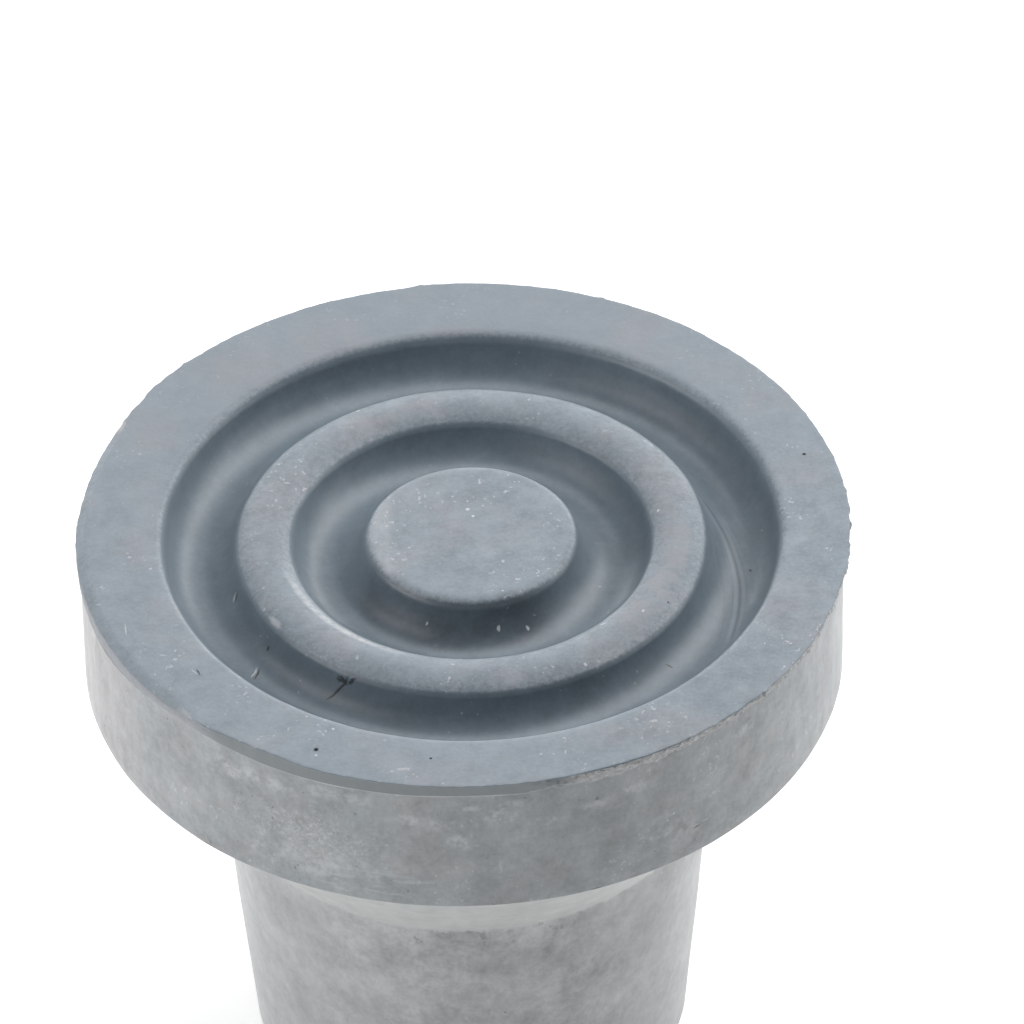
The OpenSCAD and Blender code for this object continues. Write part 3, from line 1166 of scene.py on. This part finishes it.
# %% Marks on the tread
TREAD_MARKS = [
    # start, end, width, paint, strength
    ((-9.1, -13.55), (-7.1, -13.1), 0.11, black_fibre),
    ((-8.2, -12.75), (-7.35, -13.4), 0.07, black_fibre, 0.9),
    ((-7.5, -13.25), (-6.75, -13.5), 0.07, black_fibre, 0.9),
    ((-13.45, -11.1), (-13.0, -9.95), 0.09, black_fibre),
    # painted highlight along the black fibre above
    ((-13.68, -11.0), (-13.2, -9.85), 0.09, pale_dust, 0.7),
    ((12.85, -10.8), (13.5, -10.95), 0.09, black_fibre, 0.9),
    ((8.7, -9.25), (9.3, -8.95), 0.11, pale_dust, 0.8),
    # painted highlight along the black fibre below
    ((-14.58, -3.5), (-14.75, -4.3), 0.1, pale_dust, 0.6),
    ((-14.45, -3.7), (-14.6, -4.3), 0.08, black_fibre, 0.8),
    ((-17.1, -12.95), (-16.75, -13.75), 0.08, black_fibre, 0.7),
    # painted highlight along the black fibre above
    ((-17.4, -13.0), (-17.0, -13.6), 0.08, pale_dust, 0.5),
    ((-21.62, -9.8), (-21.6, -8.4), 0.06, pale_dust, 0.7),
    ((-12.5, -7.4), (-11.6, -8.8), 0.25, pale_dust, 0.4),
]
TREAD_SPECKS = [
    # spot, width, paint, strength
    ((-9.45, -21.1), 0.22, black_fibre),
    ((-9.45, -21.6), 0.12, pale_dust),
    ((-2.19, -22.18), 0.12, black_fibre),
    ((18.61, -1.38), 0.15, black_fibre),
    ((22.3, 6.9), 0.17, black_fibre, 0.9),
    ((-12.53, -8.98), 0.13, black_fibre, 0.9),
    ((-10.47, -1.96), 0.14, black_fibre, 0.9),
    ((13.19, -7.3), 0.12, black_fibre, 0.8),
    ((-20.02, -3.13), 0.16, pale_dust, 0.6),
    ((-8.36, -19.1), 0.13, pale_dust, 0.8),
    ((0.43, 2.17), 0.16, pale_dust),
    ((0.81, 1.46), 0.15, pale_dust),
    ((-6.6, 12.6), 0.2, pale_dust, 0.8),
    ((-2.31, -7.02), 0.1, pale_dust, 0.9),
    ((2.31, -7.5), 0.14, pale_dust, 0.9),
    ((4.17, -7.2), 0.13, pale_dust, 0.8),
    ((12.73, 1.86), 0.15, pale_dust, 0.9),
    ((11.56, -8.25), 0.14, pale_dust, 0.9),
    ((7.8, -13.02), 0.14, pale_dust, 0.8),
]
for tread_mark in TREAD_MARKS:
    tread_colour = put_mark(tread_colour, *tread_mark)
for tread_speck in TREAD_SPECKS:
    tread_colour = speck(tread_colour, *tread_speck)
print("marks on the tread", len(MARKS))

# %% Marks on the side
SIDE_MARKS = [
    ((8.5, -23.6, 40.05), (9.1, -23.4, 39.95), 0.12, black_fibre, 0.8),
    ((13.1, -21.4, 40.0), (13.7, -21.0, 39.85), 0.14, black_fibre, 0.8),
    ((14.4, -19.95, 31.75), (14.9, -19.6, 31.85), 0.07, black_fibre, 0.7),
    ((15.0, -19.5, 32.0), (15.5, -19.1, 32.0), 0.08, pale_dust, 0.7),
    ((2.1, -24.5, 33.6), (2.15, -24.5, 32.2), 0.1, pale_dust, 0.4),
    ((4.2, -24.2, 35.6), (1.2, -24.5, 35.3), 0.12, pale_dust, 0.3),
    ((7.2, -23.4, 29.75), (8.8, -22.9, 29.75), 0.12, black_fibre, 0.45),
    ((-0.7, -15.2, 12.3), (0.0, -15.1, 11.4), 0.1, black_fibre, 0.7),
    # painted highlight along the black fibre above
    ((-0.6, -15.2, 11.9), (-0.1, -15.1, 11.2), 0.09, pale_dust, 0.8),
]
SIDE_SPECKS = [
    ((13.2, -20.77, 33.9), 0.14, pale_dust),
    ((12.8, -21.0, 33.5), 0.12, pale_dust, 0.7),
    ((12.0, -21.5, 31.3), 0.12, black_fibre, 0.5),
    ((2.2, -15.1, 11.9), 0.13, dark_grit, 0.6),
    ((3.3, -15.6, 15.4), 0.13, pale_dust, 0.8),
]
for side_mark in SIDE_MARKS:
    side_colour = put_mark(side_colour, *side_mark)
for side_speck in SIDE_SPECKS:
    side_colour = speck(side_colour, *side_speck)
colour = mix(side_mask, tread_colour, side_colour)
fill(shader.inputs["Base Color"], colour)
print("marks in all", len(MARKS))

# %% [markdown]
# Dust scatters light and bare skin shines. The grooves and the steep edges keep a clear skin, which
# is a coat over the rubber, and the level places have none. The wall and the neck have a low shine
# of their own. The relief is a fine grain everywhere and coarser lumps in the grooves, where the
# mould was blasted, and it is stronger in the torn lip.
# %% Rubber: sheen and relief
shader.inputs["Specular IOR Level"].default_value = 0.25
shader.inputs["Coat Roughness"].default_value = 0.4
worn = ramp(level_here, 0.8, 0.985)
matt = mix_value(high_up, 0.45, mix_value(worn, 0.4, 0.75))
fill(shader.inputs["Roughness"], mix_value(side_mask, matt, mix_value(lip_mask, 0.3, 0.55)))
bare = mix_value(high_up, 1.0, ramp(level_here, 0.65, 0.98, 1.0, 0.0))
fill(shader.inputs["Coat Weight"], mix_value(side_mask, bare, 0.0))
grain = noise_of(place, 2600.0, 1.0, 0.6)
lumps = noise_of(place, 1100.0, 1.0, 0.55)
grain_share = calc("MULTIPLY_ADD", high_up, 0.7, 0.3)
lump_share = calc("MULTIPLY_ADD", high_up, -0.5, 0.8)
relief = calc("MULTIPLY_ADD", lumps, lump_share, times(grain, grain_share))
bump_strength = mix_value(torn_mask, 0.4, 0.9)
bump = add("Bump", {"Height": relief, "Strength": bump_strength, "Distance": 0.05 * MM})
fill(shader.inputs["Normal"], bump.outputs[0])
tip.data.materials.clear()
tip.data.materials.append(rubber)
print("rubber nodes", len(tree.nodes))

# %% [markdown]
# ## Floor, camera and lamps
# The tip stands on a plain white floor. To a camera ray the floor also glows a little, so it reads as
# a clean white ground and still keeps the soft shadow. Seen from below it is see-through.
# %% Floor
floor_radius = 6.0
floor_white = (0.9, 0.9, 0.9, 1)
floor_glow = 0.5


def seen_rays():
    """1 for the rays that see a thing, straight or in a gloss or glass, and 1 for the straight ones."""
    path = add("LightPath").outputs
    seen = calc("MAXIMUM", path["Is Camera Ray"], path["Is Glossy Ray"])
    return calc("MAXIMUM", seen, path["Is Transmission Ray"]), path["Is Camera Ray"]


bpy.ops.mesh.primitive_circle_add(
    vertices=128, radius=floor_radius, fill_type="NGON", location=(0, 0, mouth_z)
)
floor = bpy.context.object
floor.name = "floor"
bpy.ops.object.transform_apply(location=True)
paint = bpy.data.materials.new("floor_white")
paint.use_nodes = True
tree = paint.node_tree
tree.nodes.remove(tree.nodes["Principled BSDF"])
matt_white = add("BsdfDiffuse", {"Color": floor_white}).outputs[0]
glow = add("Emission", {"Strength": calc("MULTIPLY", seen_rays()[0], floor_glow)}).outputs[0]
ground = add("AddShader", {0: matt_white, 1: glow}).outputs[0]
clear = add("BsdfTransparent").outputs[0]
back = add("NewGeometry").outputs["Backfacing"]
ground = add("MixShader", {0: back, 1: ground, 2: clear}).outputs[0]
fill(tree.nodes["Material Output"].inputs["Surface"], ground)
floor.data.materials.append(paint)
print("floor", floor_radius, "m in radius at height", mouth_z)

# %% [markdown]
# The camera looks down on the tread through a long lens from about a metre away, so the rings stay
# nearly true ellipses. It is turned about a degree round its own line of sight. Its three directions
# are worked out as vectors and make up the columns of its rotation.
# %% Camera
elevation = math.radians(40.494)
roll = math.radians(-1.180)
distance = 1050.6 * MM
aim = Vector((3.30 * MM, 0, face_z + 1.476 * MM))

forward = Vector((0, math.cos(elevation), -math.sin(elevation)))
level = Vector((1, 0, 0))
upward = level.cross(forward)
camera_right = math.cos(roll) * level + math.sin(roll) * upward
camera_up = math.cos(roll) * upward - math.sin(roll) * level
camera_data = bpy.data.cameras.new("camera")
camera_data.lens = 573.4
camera_data.sensor_width = 36
camera_data.clip_end = 20
camera = bpy.data.objects.new("camera", camera_data)
bpy.context.scene.collection.objects.link(camera)
turn = Matrix((camera_right, camera_up, -forward)).transposed()
camera.matrix_world = Matrix.Translation(aim - forward * distance) @ turn.to_4x4()
bpy.context.scene.camera = camera
print("camera", distance / MM, "mm away, lens", camera_data.lens, "mm")

# %% [markdown]
# The studio is white to whoever looks at it, and to the sheen of the rubber it is white low down and
# grey higher up. It gives next to no light of its own. The light comes from six soft boxes.
# %% World
scene = bpy.context.scene
scene.view_settings.view_transform = "Standard"
world = bpy.data.worlds.new("studio")
scene.world = world
world.use_nodes = True
tree = world.node_tree
faint_light = 0.03
seen, seen_straight = seen_rays()
height_seen = add("SeparateXYZ", {0: add("TexCoord").outputs["Generated"]}).outputs["Z"]
wall_white = ramp(height_seen, 0.1, 0.45, 1.0, 0.1)
white_seen = calc("MULTIPLY", seen, calc("MAXIMUM", seen_straight, wall_white))
background = tree.nodes["Background"].inputs
background["Color"].default_value = (1, 1, 1, 1)
fill(background["Strength"], calc("MAXIMUM", white_seen, faint_light))
print("world", world.name)

# %% Lamps
lamp_centre = Vector((0, 0, 35 * MM))
lamp_distance = 1.0
LAMPS = [
    # name, azimuth, angle above level, width, height, power
    ("back_strip", 178, 10, 1.1, 0.36, 4.4),
    ("right_side", 94, 10, 0.6, 0.4, 1.3),
    ("left_side", 291, 10, 0.8, 0.36, 3.3),
    ("left_high", 281, 45, 0.7, 0.5, 2.4),
    ("key", 124, 38, 0.9, 0.6, 5.2),
    ("top", 152, 65, 1.0, 0.5, 4.5),
]


def softbox(name, azimuth, height_angle, width, height, power):
    """An area lamp that looks at the tip. Azimuth 0 is the camera's side and 90 is the right."""
    turn, lift = math.radians(azimuth), math.radians(height_angle)
    level_share = math.cos(lift)
    out = Vector((math.sin(turn) * level_share, -math.cos(turn) * level_share, math.sin(lift)))
    data = bpy.data.lights.new(name, "AREA")
    data.shape = "RECTANGLE"
    data.size = width
    data.size_y = height
    data.energy = power
    lamp = bpy.data.objects.new(name, data)
    bpy.context.scene.collection.objects.link(lamp)
    lamp.location = lamp_centre + out * lamp_distance
    lamp.rotation_euler = out.to_track_quat("Z", "Y").to_euler()
    lamp.visible_camera = False


for lamp in LAMPS:
    softbox(*lamp)
print("lamps", [lamp[0] for lamp in LAMPS])
